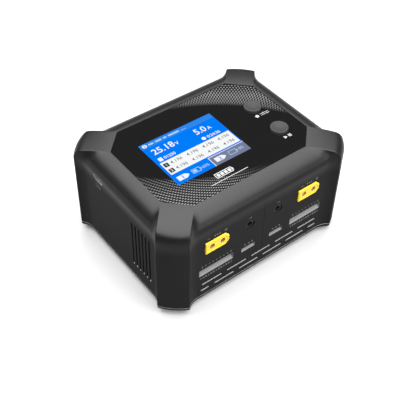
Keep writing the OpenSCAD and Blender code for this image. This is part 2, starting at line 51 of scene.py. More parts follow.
CAM_POS = Vector((-0.21547, -0.26498, 0.35941))
CAM_AZ, CAM_EL, CAM_ROLL = -39.117, 43.721, 1.828   # degrees
CAM_LENS, CAM_SENSOR = 67.96, 36                    # millimetres
CAM_SHIFT = (-0.0036, -0.0637)
FLOOR_HALF = 3.0
FLOOR_SHADE, FLOOR_GLOW, WORLD_GLOW = 0.19, 0.10, 0.05


def make_camera():
    az, el, roll = (math.radians(a) for a in (CAM_AZ, CAM_EL, CAM_ROLL))
    back = Vector((math.sin(az) * math.cos(el), -math.cos(az) * math.cos(el), math.sin(el)))
    right = (-back).cross(Vector((0, 0, 1))).normalized()
    up = right.cross(-back)
    right, up = (right * math.cos(roll) + up * math.sin(roll),
                 up * math.cos(roll) - right * math.sin(roll))
    data = bpy.data.cameras.new("camera")
    data.sensor_width = CAM_SENSOR
    data.lens = CAM_LENS
    data.shift_x, data.shift_y = CAM_SHIFT
    data.clip_start = 0.01
    cam = bpy.data.objects.new("camera", data)
    cam.matrix_world = Matrix((
        (right.x, up.x, back.x, CAM_POS.x),
        (right.y, up.y, back.y, CAM_POS.y),
        (right.z, up.z, back.z, CAM_POS.z),
        (0, 0, 0, 1)))
    bpy.context.scene.collection.objects.link(cam)
    bpy.context.scene.camera = cam


def area_light(name, pos, target, size, power, size_y):
    data = bpy.data.lights.new(name, "AREA")
    data.energy = power
    data.shape = "RECTANGLE"
    data.size = size
    data.size_y = size_y
    lamp = bpy.data.objects.new(name, data)
    lamp.location = pos
    lamp.rotation_euler = (Vector(target) - Vector(pos)).to_track_quat("-Z", "Y").to_euler()
    bpy.context.scene.collection.objects.link(lamp)


def make_stage():
    mesh = bpy.data.meshes.new("floor")
    s = FLOOR_HALF
    mesh.from_pydata([(-s, -s, 0), (s, -s, 0), (s, s, 0), (-s, s, 0)], [], [(0, 1, 2, 3)])
    floor = bpy.data.objects.new("floor", mesh)
    bpy.context.scene.collection.objects.link(floor)
    mat = bpy.data.materials.new("floor_paper")
    mat.use_nodes = True
    shader = mat.node_tree.nodes["Principled BSDF"]
    shader.inputs["Base Color"].default_value = (FLOOR_SHADE, FLOOR_SHADE, FLOOR_SHADE, 1)
    shader.inputs["Emission Color"].default_value = (1, 1, 1, 1)
    shader.inputs["Emission Strength"].default_value = FLOOR_GLOW
    shader.inputs["Roughness"].default_value = 1
    shader.inputs["Specular IOR Level"].default_value = 0
    mesh.materials.append(mat)
    world = bpy.data.worlds.new("studio")
    world.use_nodes = True
    background = world.node_tree.nodes["Background"]
    background.inputs["Color"].default_value = (1, 1, 1, 1)
    background.inputs["Strength"].default_value = WORLD_GLOW
    bpy.context.scene.world = world
    area_light("overhead", (0.10, -0.02, 0.90), (0.10, -0.02, 0), 1.50, 128, 1.86)
    area_light("front_fill", (0.25, -1.15, 0.42), (0, 0, 0.03), 1.1, 11, 0.35)
    area_light("back_left", (-0.75, 0.55, 0.10), (0, 0, 0.05), 0.5, 1.0, 0.16)


bpy.context.scene.view_settings.view_transform = "Standard"
make_camera()
make_stage()

# ---- materials -------------------------------------------------------------


class Shader:
    """A small builder of node materials."""

    def __init__(self, name):
        self.mat = bpy.data.materials.new(name)
        self.mat.use_nodes = True
        self.tree = self.mat.node_tree
        self.bsdf = self.tree.nodes["Principled BSDF"]
        self.coord = self.tree.nodes.new("ShaderNodeTexCoord").outputs["Object"]

    def put(self, socket, value):
        if isinstance(value, bpy.types.NodeSocket):
            self.tree.links.new(value, socket)
        elif value is not None:
            socket.default_value = value

    def set(self, **values):
        for key, value in values.items():
            name = key.replace("_", " ")
            if isinstance(value, tuple) and len(value) == 3 and name != "Normal":
                value = (*value, 1)
            self.put(self.bsdf.inputs[name], value)

    def math(self, op, a, b=None):
        node = self.tree.nodes.new("ShaderNodeMath")
        node.operation = op
        for socket, value in zip(node.inputs, (a, b)):
            self.put(socket, value)
        return node.outputs[0]

    def xyz(self):
        node = self.tree.nodes.new("ShaderNodeSeparateXYZ")
        self.put(node.inputs[0], self.coord)
        return node.outputs

    def stretch(self, scale):
        node = self.tree.nodes.new("ShaderNodeMapping")
        self.put(node.inputs["Vector"], self.coord)
        node.inputs["Scale"].default_value = scale
        return node.outputs[0]

    def noise(self, size_mm, detail=2.0, vector=None):
        node = self.tree.nodes.new("ShaderNodeTexNoise")
        self.put(node.inputs["Vector"], vector or self.coord)
        node.inputs["Scale"].default_value = 1 / (size_mm * MM)
        node.inputs["Detail"].default_value = detail
        return node.outputs["Fac"]

    def voronoi(self, size_mm, feature="F1"):
        node = self.tree.nodes.new("ShaderNodeTexVoronoi")
        node.feature = feature
        self.put(node.inputs["Vector"], self.coord)
        node.inputs["Scale"].default_value = 1 / (size_mm * MM)
        return node.outputs["Distance"]

    def span(self, value, low, high, to_low=0.0, to_high=1.0, smooth=False):
        node = self.tree.nodes.new("ShaderNodeMapRange")
        if smooth:
            node.interpolation_type = "SMOOTHSTEP"
        for socket, v in zip(node.inputs, (value, low, high, to_low, to_high)):
            self.put(socket, v)
        return node.outputs[0]

    def wave(self, value, period_mm):
        return self.math("SINE", self.math("MULTIPLY", value, 2 * math.pi / (period_mm * MM)))

    def mix(self, factor, a, b):
        node = self.tree.nodes.new("ShaderNodeMix")
        node.data_type = "RGBA"
        self.put(node.inputs[0], factor)
        for socket, value in ((node.inputs[6], a), (node.inputs[7], b)):
            if isinstance(value, tuple) and len(value) == 3:
                value = (*value, 1)
            self.put(socket, value)
        return node.outputs[2]

    def bump(self, height, distance_mm):
        node = self.tree.nodes.new("ShaderNodeBump")
        node.inputs["Strength"].default_value = 1
        node.inputs["Distance"].default_value = distance_mm * MM
        self.put(node.inputs["Height"], height)
        return node.outputs[0]


def tint(color, k):
    return tuple(min(1.0, c * k) for c in color)


def plastic(name, color, rough=0.45, grain=0.35, depth=0.012, vary=0.18, spec=0.5):
    """Moulded plastic: a fine grain, and slow drifts in shade and gloss."""
    s = Shader(name)
    fine = s.noise(grain, 3)
    broad = s.noise(14, 4)
    s.set(Base_Color=s.mix(broad, tint(color, 1 - vary), tint(color, 1 + vary)))
    s.set(Roughness=s.math("ADD", s.span(fine, 0.3, 0.7, rough - 0.04, rough + 0.04),
                           s.span(broad, 0.3, 0.7, -0.03, 0.03)))
    s.set(Normal=s.bump(fine, depth))
    s.bsdf.inputs["Specular IOR Level"].default_value = spec
    return s.mat


def case_plastic(name):
    """Black case moulding: satin on the cap, finely textured and matter on the walls below it."""
    s = Shader(name)
    fine = s.noise(0.22, 3)
    broad = s.noise(14, 4)
    height = s.xyz()[2]
    s.set(Base_Color=s.mix(broad, (0.0018, 0.0018, 0.0020), (0.0026, 0.0026, 0.0028)))
    gloss = s.span(height, 49 * MM, 57 * MM, 0.74, 0.38, smooth=True)
    s.set(Roughness=s.math("ADD", gloss, s.span(fine, 0.3, 0.7, -0.03, 0.03)))
    s.set(Normal=s.bump(fine, 0.004))
    s.bsdf.inputs["Specular IOR Level"].default_value = 0.13
    return s.mat


def metal(name, color, rough=0.3, stretch=(1, 1, 12), grain=0.3):
    """Drawn or brushed metal with fine lines across it."""
    s = Shader(name)
    lines = s.noise(grain, 3, s.stretch(stretch))
    cloud = s.noise(5, 3)
    s.set(Base_Color=s.mix(cloud, tint(color, 0.86), tint(color, 1.1)))
    s.set(Roughness=s.span(lines, 0.25, 0.75, rough - 0.08, rough + 0.1))
    s.set(Normal=s.bump(lines, 0.006))
    s.bsdf.inputs["Metallic"].default_value = 1
    return s.mat


def rubber(name, color):
    s = Shader(name)
    pits = s.voronoi(0.45)
    s.set(Base_Color=s.mix(s.noise(3, 4), tint(color, 0.7), tint(color, 1.5)))
    s.set(Roughness=s.span(pits, 0, 0.6, 0.75, 0.92))
    s.set(Normal=s.bump(pits, 0.04))
    return s.mat


def circuit_board(name):
    """Green solder mask over copper tracks, with tinned pads."""
    s = Shader(name)
    cell = s.voronoi(3.2, "DISTANCE_TO_EDGE")
    track = s.span(cell, 0.03, 0.06, 1, 0)
    pads = s.span(s.voronoi(2.3), 0.16, 0.2, 1, 0)
    mask = s.mix(track, (0.006, 0.07, 0.028), (0.02, 0.16, 0.06))
    s.set(Base_Color=s.mix(pads, mask, (0.6, 0.58, 0.5)))
    s.set(Roughness=s.span(s.noise(1.2), 0.3, 0.7, 0.25, 0.4), Metallic=pads)
    s.set(Normal=s.bump(s.math("ADD", track, pads), 0.03))
    return s.mat


def winding(name):
    """Enamelled copper wire wound round a ring core."""
    s = Shader(name)
    turns = s.tree.nodes.new("ShaderNodeTexWave")
    turns.wave_type = "BANDS"
    turns.bands_direction = "DIAGONAL"
    s.put(turns.inputs["Vector"], s.coord)
    turns.inputs["Scale"].default_value = 260
    turns.inputs["Distortion"].default_value = 1.5
    wave = turns.outputs["Fac"]
    s.set(Base_Color=s.mix(wave, (0.12, 0.03, 0.01), (0.62, 0.22, 0.07)))
    s.set(Roughness=s.span(wave, 0, 1, 0.5, 0.25))
    s.set(Normal=s.bump(wave, 0.25))
    s.bsdf.inputs["Metallic"].default_value = 0.7
    return s.mat


def glow(name, color, grid):
    """One flat area of the lit display. grid is how strong its faint mesh of dots is."""
    s = Shader(name)
    x, y, _ = s.xyz()
    lines = s.math("MULTIPLY", s.wave(x, 0.16), s.wave(y, 0.16))
    shade = s.span(lines, -1, 1, 1 - grid, 1)
    dim = s.mix(shade, tint(color, 0.7), color)
    s.set(Base_Color=(0.0, 0.0, 0.0))
    s.set(Emission_Color=dim, Roughness=s.span(s.noise(6), 0.3, 0.7, 0.28, 0.36))
    s.bsdf.inputs["Emission Strength"].default_value = 1.0
    s.bsdf.inputs["Specular IOR Level"].default_value = 0.0
    return s.mat


def print_ink(name, color):
    s = Shader(name)
    specks = s.noise(0.25, 2)
    s.set(Base_Color=s.mix(s.span(specks, 0.3, 0.75), tint(color, 0.8), color))
    s.set(Roughness=s.span(specks, 0.3, 0.7, 0.5, 0.65))
    return s.mat


def offset(s, x, y, centre):
    """The steps in x and y from a centre in millimetres, and the distance from it."""
    dx = s.math("SUBTRACT", x, centre[0] * MM)
    dy = s.math("SUBTRACT", y, centre[1] * MM)
    squares = s.math("ADD", s.math("MULTIPLY", dx, dx), s.math("MULTIPLY", dy, dy))
    return dx, dy, s.math("SQRT", squares)


def dash_field(s, x, y, centre, row_mm, cell_mm, turn_mm, fill, lean, stepped=False):
    """Dashes in rows that run round a centre: (1 inside a row, 1 inside a dash along it).

    cell_mm is a dash's length at the radius turn_mm. Each row is set off by lean of a dash,
    gradually across its width or, if stepped, all at once. fill is the half width of a row
    and of a dash, as a share of its cell."""
    dx, dy, radius = offset(s, x, y, centre)
    row = s.math("DIVIDE", radius, row_mm * MM)
    shift = s.math("MULTIPLY", s.math("FLOOR", row) if stepped else row, lean)
    along = s.math("ADD", s.math("MULTIPLY", s.math("ARCTAN2", dy, dx), turn_mm / cell_mm), shift)
    inside = []
    for place, half in ((row, fill[0]), (along, fill[1])):
        from_middle = s.math("ABSOLUTE", s.math("SUBTRACT", s.math("FRACT", place), 0.5))
        inside.append(s.span(from_middle, half - 0.1, half + 0.06, 1, 0))
    return inside


def beyond(s, x, y, centre, radius_mm, blur_mm):
    """1 outside the circle round centre, fading to 0 at its edge."""
    distance = offset(s, x, y, centre)[2]
    return s.span(distance, radius_mm * MM, (radius_mm + blur_mm) * MM)


def slope_along(s, x, y, direction):
    """How far a point lies along a direction in the panel's plane."""
    return s.math("ADD", s.math("MULTIPLY", x, direction[0]), s.math("MULTIPLY", y, direction[1]))


def panel_film(name):
    """Matte black film. Short grey dashes fill two opposite corners and fade towards the middle."""
    s = Shader(name)
    x, y, _ = s.xyz()
    # front left: leaning dashes in rows that bend round a point right of the middle
    row, dash = dash_field(s, x, y, (14, 22), row_mm=1.9, cell_mm=1.4, turn_mm=70,
                           fill=(0.25, 0.27), lean=0.87)
    edge = slope_along(s, x, y, (0.46, 0.89))
    strength = s.span(edge, -22 * MM, -46 * MM, 0.3, 1, smooth=True)
    right_end = s.span(x, 18 * MM, -12 * MM, 0, 1, smooth=True)
    low = s.math("MULTIPLY", s.math("MULTIPLY", row, dash), s.math("MULTIPLY", strength, right_end))
    low = s.math("MULTIPLY", low, beyond(s, x, y, (24, 66), 100, 2))
    # back right: spokes from a point in the front left, cut into dots near the corner
    cuts, spoke = dash_field(s, x, y, (-16, -34), row_mm=1.9, cell_mm=1.6, turn_mm=72,
                             fill=(0.24, 0.23), lean=0.5, stepped=True)
    edge = slope_along(s, x, y, (0.62, 0.78))
    dots = s.span(edge, 40 * MM, 50 * MM, 0, 1, smooth=True)
    high = s.math("MULTIPLY", s.math("MAXIMUM", cuts, s.math("SUBTRACT", 1, dots)), spoke)
    high = s.math("MULTIPLY", high, s.span(edge, 28 * MM, 52 * MM, 0.4, 0.9, smooth=True))
    high = s.math("MULTIPLY", high, beyond(s, x, y, (-41, -66), 109, 3))
    ink = s.math("MULTIPLY", s.math("MAXIMUM", low, high), s.span(s.noise(5), 0.3, 0.7, 0.85, 1))
    film = s.mix(s.noise(0.5, 3), (0.0018, 0.0018, 0.0018), (0.0024, 0.0024, 0.0024))
    s.set(Base_Color=s.mix(ink, film, (0.075, 0.075, 0.075)))
    s.set(Roughness=s.span(s.noise(0.3), 0.3, 0.7, 0.62, 0.72))
    s.set(Normal=s.bump(s.math("ADD", ink, s.noise(0.3)), 0.01))
    s.bsdf.inputs["Specular IOR Level"].default_value = 0.0
    return s.mat


def sleeve(name, color):
    """Shrink sleeve on a can: a faint wrinkle that also varies its tone."""
    s = Shader(name)
    wrinkle = s.noise(1.5, 4, s.stretch((1, 1, 4)))
    s.set(Base_Color=s.mix(wrinkle, tint(color, 0.7), tint(color, 1.4)))
    s.set(Roughness=s.span(wrinkle, 0.3, 0.7, 0.2, 0.35), Normal=s.bump(wrinkle, 0.05))
    return s.mat


def tape(name):
    s = Shader(name)
    wraps = s.math("FRACT", s.math("DIVIDE", s.xyz()[2], 1.7 * MM))
    edge = s.span(wraps, 0.02, 0.1, 1, 0)
    s.set(Base_Color=s.mix(edge, (0.62, 0.4, 0.04), (0.25, 0.15, 0.02)))
    s.set(Roughness=s.span(s.noise(2), 0.3, 0.7, 0.2, 0.35), Normal=s.bump(edge, 0.04))
    return s.mat


def ribbon(name):
    s = Shader(name)
    strands = s.wave(s.xyz()[0], 1.0)
    s.set(Base_Color=s.mix(s.span(strands, -1, 1), (0.3, 0.3, 0.29), (0.62, 0.62, 0.6)))
    s.set(Roughness=s.span(s.noise(2), 0.3, 0.7, 0.4, 0.5), Normal=s.bump(strands, 0.1))
    return s.mat


def woven_screen(name, color):
    """A fine woven screen: crossed threads with dark gaps."""
    s = Shader(name)
    _, y, z = s.xyz()
    thread = s.math("MAXIMUM", s.wave(y, 0.5), s.wave(z, 0.5))
    s.set(Base_Color=s.mix(s.span(thread, 0, 0.6), tint(color, 0.3), color))
    s.set(Roughness=s.span(s.noise(2), 0.3, 0.7, 0.5, 0.65), Normal=s.bump(thread, 0.08))
    return s.mat


def clear_glass(name):
    s = Shader(name)
    s.set(Base_Color=s.mix(s.noise(4), (0.8, 0.82, 0.82), (0.9, 0.92, 0.92)))
    s.set(Roughness=s.span(s.noise(2), 0.3, 0.7, 0.04, 0.1))
    s.bsdf.inputs["Transmission Weight"].default_value = 0.7
    return s.mat


HOUSING = case_plastic("housing")
BASE = plastic("base", (0.002, 0.002, 0.0022), 0.5, 0.3, 0.006, 0.18, 0.15)
# pale grey for the vent lips and sills: painted highlight, standing in for light caught by the slot floors
VENT_LIP_HIGHLIGHT = plastic("vent_lip_painted_highlight", (0.16, 0.16, 0.16), 0.5, 0.3, 0.004, 0.06, 0.3)
# pale grey for the band at the seam: painted highlight of light on the case's lower edge
SEAM_HIGHLIGHT = plastic("seam_painted_highlight", (0.17, 0.17, 0.17), 0.35, 0.3, 0.004, 0.1, 0.4)
BUTTON = plastic("button", (0.0115, 0.0115, 0.0118), 0.5, 0.25, 0.006, 0.1, 0.06)
YELLOW = plastic("yellow_nylon", (0.40, 0.29, 0.012), 0.42, 0.6, 0.004, 0.06, 0.2)
NYLON = plastic("pale_nylon", (0.078, 0.078, 0.077), 0.55, 0.4, 0.006, 0.06, 0.3)
BLACK = plastic("black_moulding", (0.003, 0.003, 0.0032), 0.45, 0.4, 0.006, 0.18, 0.2)
CHIP = plastic("chip_epoxy", (0.012, 0.012, 0.013), 0.65, 0.15, 0.01)
RED = plastic("red_moulding", (0.5, 0.03, 0.02), 0.45)
GOLD = metal("contact_gold", (0.95, 0.66, 0.24), 0.4)
STEEL = metal("plated_steel", (0.55, 0.55, 0.56), 0.3)
BRIGHT = metal("heatsink", (0.7, 0.7, 0.72), 0.4, (1, 8, 1))
BRASS = metal("brass", (0.7, 0.48, 0.18), 0.3)
RUBBER = rubber("foot_rubber", (0.012, 0.012, 0.012))
PCB = circuit_board("circuit_board")
FILM = panel_film("panel_film")
SCREEN_CLOTH = woven_screen("vent_screen", (0.02, 0.02, 0.021))
INK = print_ink("white_ink", (0.11, 0.11, 0.113))
DIM_INK = print_ink("grey_ink", (0.05, 0.05, 0.052))

BY_SLOT = {
    "housing_plastic": HOUSING, "base_plastic": BASE, "foot_rubber": RUBBER, "panel_film": FILM,
    "lcd_metal": STEEL, "circuit_board": PCB, "button_plastic": BUTTON, "switch_body": BLACK,
    "switch_stem": RED, "shell_metal": STEEL, "socket_yellow": YELLOW, "contact_gold": GOLD,
    "header_nylon": NYLON, "jack_plastic": BLACK, "connector_black": BLACK, "heatsink_metal": BRIGHT,
    "chip_epoxy": CHIP, "winding": winding("copper_winding"),
    "capacitor_sleeve": sleeve("capacitor_sleeve", (0.03, 0.04, 0.12)), "beeper_case": BLACK,
    "ribbon_cable": ribbon("ribbon_cable"), "transformer_tape": tape("transformer_tape"),
    "fuse_glass": clear_glass("fuse_glass"), "spacer_brass": BRASS, "inlet_plastic": BLACK,
    "pin_metal": STEEL, "fan_plastic": BLACK, "shaft_steel": STEEL,
    "bearing_bronze": metal("bearing_bronze", (0.5, 0.3, 0.12), 0.4), "screw_steel": STEEL,
    "screw_black": metal("black_screw", (0.05, 0.05, 0.05), 0.35),
    "screen_face": glow("screen_blue", (0.0, 0.212, 1.0), 0.25),
}
for part in frame["record"]["subparts"]:
    node = NODES[part["node"]]
    node.data.materials.clear()
    node.data.materials.append(BY_SLOT[part["material_slot"]])

# ---- mesh helpers ----------------------------------------------------------


def finish_mesh(name, mesh, mat, angle, body=BODY):
    """A visible piece from a mesh, on its body. Edges sharper than angle stay sharp."""
    mesh.name = name
    mesh.materials.clear()
    mesh.materials.append(mat)
    mesh.shade_smooth()
    mesh.set_sharp_from_angle(angle=math.radians(angle))
    piece = bpy.data.objects.new(name, mesh)
    bpy.context.scene.collection.objects.link(piece)
    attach(piece, body)
    return piece


class Solid:
    """Collects closed shapes, in millimetres, into one mesh."""

    def __init__(self):
        self.verts, self.faces = [], []

    def add(self, verts, faces):
        base = len(self.verts)
        self.verts += [tuple(v) for v in verts]
        self.faces += [tuple(base + i for i in f) for f in faces]
        return self

    def prism(self, outline, low, high, axis="z"):
        """An outline extruded along an axis."""
        n = len(outline)
        verts = [{"z": (a, b, h), "y": (a, h, b), "x": (h, a, b)}[axis]
                 for h in (low, high) for a, b in outline]
        faces = [tuple(range(n - 1, -1, -1)), tuple(range(n, 2 * n))]
        faces += [(i, (i + 1) % n, n + (i + 1) % n, n + i) for i in range(n)]
        if axis == "y":
            faces = [tuple(reversed(f)) for f in faces]
        return self.add(verts, faces)

    def loft(self, rings):
        """Rings of points, all with the same count, joined in order and capped."""
        n, last = len(rings[0]), len(rings) - 1
        faces = [tuple(range(n - 1, -1, -1)), tuple(range(last * n, last * n + n))]
        for r in range(last):
            faces += [(r * n + i, r * n + (i + 1) % n, (r + 1) * n + (i + 1) % n, (r + 1) * n + i)
                      for i in range(n)]
        return self.add([p for ring in rings for p in ring], faces)

    def lathe(self, profile, at, n):
        """A closed profile of (radius, height) turned about z; radius 0 at both ends."""
        rings, verts, faces = [], [], []
        for r, h in profile:
            ring = []
            for k in range(1 if r == 0 else n):
                a = 2 * math.pi * k / n
                verts.append((r * math.cos(a) + at[0], r * math.sin(a) + at[1], h))
                ring.append(len(verts) - 1)
            rings.append(ring)
        for a, b in zip(rings, rings[1:]):
            for k in range(n):
                quad = [a[k % len(a)], a[(k + 1) % len(a)], b[(k + 1) % len(b)], b[k % len(b)]]
                face = list(dict.fromkeys(quad))
                if len(face) > 2:
                    faces.append(tuple(face))
        return self.add(verts, faces)

    def mesh(self, name="part"):
        mesh = bpy.data.meshes.new(name)
        mesh.from_pydata([(x * MM, y * MM, z * MM) for x, y, z in self.verts], [], self.faces)
        bm = bmesh.new()
        bm.from_mesh(mesh)
        bmesh.ops.recalc_face_normals(bm, faces=bm.faces)
        bm.to_mesh(mesh)
        bm.free()
        return mesh


def baked(mesh, setup):
    """The mesh after the modifiers that setup adds."""
    holder = bpy.data.objects.new("holder", mesh)
    bpy.context.scene.collection.objects.link(holder)
    extras = setup(holder) or []
    graph = bpy.context.evaluated_depsgraph_get()
    graph.update()
    result = bpy.data.meshes.new_from_object(holder.evaluated_get(graph))
    for item in [holder, *extras]:
        bpy.data.objects.remove(item)
    return result


def cut(mesh, cutter):
    """The mesh less the cutter, whose own parts must not overlap."""
    def setup(holder):
        tool = bpy.data.objects.new("tool", cutter)
        bpy.context.scene.collection.objects.link(tool)
        mod = holder.modifiers.new("cut", "BOOLEAN")
        mod.operation = "DIFFERENCE"
        mod.solver = "MANIFOLD"
        mod.object = tool
        return [tool]
    return baked(mesh, setup)


def rounded(w, h, r, n=5, at=(0, 0)):
    """Outline of a rounded rectangle."""
    out = []
    for cx, cy, start in ((w / 2 - r, h / 2 - r, 0), (-w / 2 + r, h / 2 - r, 90),
                          (-w / 2 + r, -h / 2 + r, 180), (w / 2 - r, -h / 2 + r, 270)):
        for k in range(n):
            a = math.radians(start + 90 * k / (n - 1))
            out.append((at[0] + cx + r * math.cos(a), at[1] + cy + r * math.sin(a)))
    return out


def rect(x0, y0, x1, y1):
    return [(x0, y0), (x1, y0), (x1, y1), (x0, y1)]


def disc(r, n, at):
    """Outline of a circle."""
    return [(at[0] + r * math.cos(2 * math.pi * k / n), at[1] + r * math.sin(2 * math.pi * k / n))
            for k in range(n)]


# ---- housing ---------------------------------------------------------------

# All in millimetres, for the quarter of the plan where x and y are positive.
WALL_X, WALL_Y = 64.3, 49.3
PAD_SIDE, PAD_BACK = (67.5, 40.3), (54.0, 52.5)     # where a corner pad's face starts and ends
RUN, RECESS = 8.0, 3.2                              # the bend from a wall out to a pad
BOW = 1.2                                           # how far a pad's face bulges
PANEL_X, PANEL_Y, CORNER = 52.1, 36.8, 12.4         # the panel's half sizes and its chamfer
TOP_Z, DECK_Z, SEAM_Z = 66.4, 65.0, 6.2
BEND_STEPS, PAD_STEPS, PROFILE_STEPS = 8, 16, 10


def plan_quarter():
    """Stations from the middle of the back wall to the middle of the right wall, in the
    quarter where x and y are positive: (point on the wall, point on the panel's edge, how
    far the section is the pad's, corner mark)."""
    out = []
    t_mid, t_side = (PANEL_X - CORNER, PANEL_Y), (PANEL_X, PANEL_Y - CORNER)
    for x in (0, 15, 30, 40):
        out.append(((x, WALL_Y), (x / PAD_BACK[0] * t_mid[0], PANEL_Y), 0.0, 0))
    sweep = 2 * math.atan(RECESS / RUN)
    radius = RUN / math.sin(sweep)
    arc = [(radius * math.sin(sweep * k / BEND_STEPS), radius * (1 - math.cos(sweep * k / BEND_STEPS)))
           for k in range(BEND_STEPS + 1)]
    for along, rise in arc:
        x = PAD_BACK[0] - RUN + along
        corner = 1 if along > RUN - 0.01 else 0
        out.append(((x, WALL_Y + rise), (x / PAD_BACK[0] * t_mid[0], PANEL_Y), rise / RECESS, corner))
    dx, dy = PAD_SIDE[0] - PAD_BACK[0], PAD_SIDE[1] - PAD_BACK[1]
    length = math.hypot(dx, dy)
    nx, ny = -dy / length, dx / length
    for k in range(1, PAD_STEPS):
        t = k / PAD_STEPS
        bow = BOW * 4 * t * (1 - t)
        wall = (PAD_BACK[0] + dx * t + nx * bow, PAD_BACK[1] + dy * t + ny * bow)
        top = (t_mid[0] + (t_side[0] - t_mid[0]) * t, t_mid[1] + (t_side[1] - t_mid[1]) * t)
        out.append((wall, top, 1.0, 0))
    for along, rise in reversed(arc):
        y = PAD_SIDE[1] - RUN + along
        corner = 1 if along > RUN - 0.01 else 0
        out.append(((WALL_X + rise, y), (PANEL_X, y / PAD_SIDE[1] * t_side[1]), rise / RECESS, corner))
    for y in (26, 18, 9):
        out.append(((WALL_X, y), (PANEL_X, y / PAD_SIDE[1] * t_side[1]), 0.0, 0))
    return out


def plan_all():
    """The stations of all four quarters, in order round the case."""
    quarter = plan_quarter()

    def flip(station, sx, sy):
        (bx, by), (tx, ty), share, mark = station
        return (bx * sx, by * sy), (tx * sx, ty * sy), share, mark
    ring = list(quarter)
    middle = ((WALL_X, 0.0), (PANEL_X, 0.0), 0.0, 0)
    ring.append(middle)
    ring += [flip(s, 1, -1) for s in reversed(quarter)][:-1]
    ring += [flip(s, -1, -1) for s in quarter]
    ring.append(flip(middle, -1, 1))
    ring += [flip(s, -1, 1) for s in reversed(quarter)][:-1]
    return ring


def crown_section():
    """(share of the way from the panel's edge to the wall, height) for wall and pad."""
    tilt, roll, run, lip = math.radians(48), 7.0, 12.6, 0.3
    crown = (run - lip - roll * (1 - math.sin(tilt))) / math.sin(tilt)
    foot = TOP_Z - crown * (1 - math.cos(tilt)) - roll * math.cos(tilt)
    pad_roll, pad_run, pad_tilt = 6.4, 22.3, math.radians(11)
    shoulder = TOP_Z - 1.4
    pad_foot = shoulder - pad_roll * math.cos(pad_tilt)
    flat = 1 - pad_roll * (1 - math.sin(pad_tilt)) / pad_run
    steps = [k / PROFILE_STEPS for k in range(1, PROFILE_STEPS + 1)]
    wall, pad = [], []
    for t in steps:
        a = tilt * t
        wall.append(((lip + crown * math.sin(a)) / run, TOP_Z - crown * (1 - math.cos(a))))
        pad.append((flat * t, TOP_Z - (TOP_Z - shoulder) * t * t))
    for t in steps:
        a = tilt + (math.pi / 2 - tilt) * t
        wall.append(((run - roll * (1 - math.sin(a))) / run, foot + roll * math.cos(a)))
        a = pad_tilt + (math.pi / 2 - pad_tilt) * t
        pad.append((1 - pad_roll * (1 - math.sin(a)) / pad_run, pad_foot + pad_roll * math.cos(a)))
    return wall, pad


def section_at(station, rows_below):
    """The column of points of the skin at one station, from the deck down."""
    (bx, by), (tx, ty), share, _ = station
    wall, pad = crown_section()
    lip = 0.16 / math.hypot(bx - tx, by - ty)
    points = [(tx, ty, DECK_Z), (tx, ty, TOP_Z - 0.18),
              (tx + (bx - tx) * lip, ty + (by - ty) * lip, TOP_Z - 0.01)]
    for (q0, z0), (q1, z1) in zip(wall, pad):
        q, z = q0 + (q1 - q0) * share, z0 + (z1 - z0) * share
        points.append((tx + (bx - tx) * q, ty + (by - ty) * q, z))
    return points + inset_rows((bx, by), rows_below)


def inset_rows(wall_point, rows):
    """Points below each other at a wall point, from rows of (height, inset)."""
    x, y = wall_point
    d = math.hypot(x, y)
    return [(x - x / d * inset, y - y / d * inset, z) for z, inset in rows]


def soften(columns, marks, size=0.75):
    """Rounds the vertical crease at each marked column."""
    out = []
    n = len(columns)
    for i, column in enumerate(columns):
        if not marks[i]:
            out.append(column)
            continue
        before, after = columns[i - 1], columns[(i + 1) % n]

        def near(a, b):
            d = math.dist(a, b) or 1
            t = min(0.45, size / d)
            return tuple(a[k] + (b[k] - a[k]) * t for k in range(3))
        starts = [near(p, q) for p, q in zip(column, before)]
        ends = [near(p, q) for p, q in zip(column, after)]
        for t in (0, 0.33, 0.67, 1):
            out.append([tuple((1 - t) ** 2 * s[k] + 2 * t * (1 - t) * c[k] + t * t * e[k] for k in range(3))
                        for s, c, e in zip(starts, column, ends)])
    return out


def skin(columns, name):
    n, m = len(columns), len(columns[0])
    solid = Solid()
    verts = [p for column in columns for p in column]
    faces = []
    for i in range(n):
        j = (i + 1) % n
        for k in range(m - 1):
            faces.append((i * m + k, i * m + k + 1, j * m + k + 1, j * m + k))
    faces.append(tuple(i * m for i in range(n)))
    faces.append(tuple(i * m + m - 1 for i in reversed(range(n))))
    solid.add(verts, faces)
    mesh = solid.mesh(name)
    bm = bmesh.new()
    bm.from_mesh(mesh)
    caps = [f for f in bm.faces if len(f.verts) > 4]
    bmesh.ops.triangulate(bm, faces=caps)
    bmesh.ops.recalc_face_normals(bm, faces=bm.faces)
    bm.to_mesh(mesh)
    bm.free()
    return mesh


def octagon(w, d, c):
    """Outline of a rectangle of half sizes w and d with its corners cut off."""
    return [(-w + c, -d), (w - c, -d), (w, -d + c), (w, d - c),
            (w - c, d), (-w + c, d), (-w, d - c), (-w, -d + c)]


def plug(w, h, corner, at=(0, 0), grow=0.0):
    """A power plug's outline: square at one end, chamfered at the other."""
    a, b = w / 2 + grow, h / 2 + grow
    pts = [(-a, -b), (a - corner, -b), (a, -b + corner), (a, b - corner), (a - corner, b), (-a, b)]
    return [(p[0] + at[0], p[1] + at[1]) for p in pts]


def corners(x, y):
    return [(x * sx, y * sy) for sx in (-1, 1) for sy in (-1, 1)]


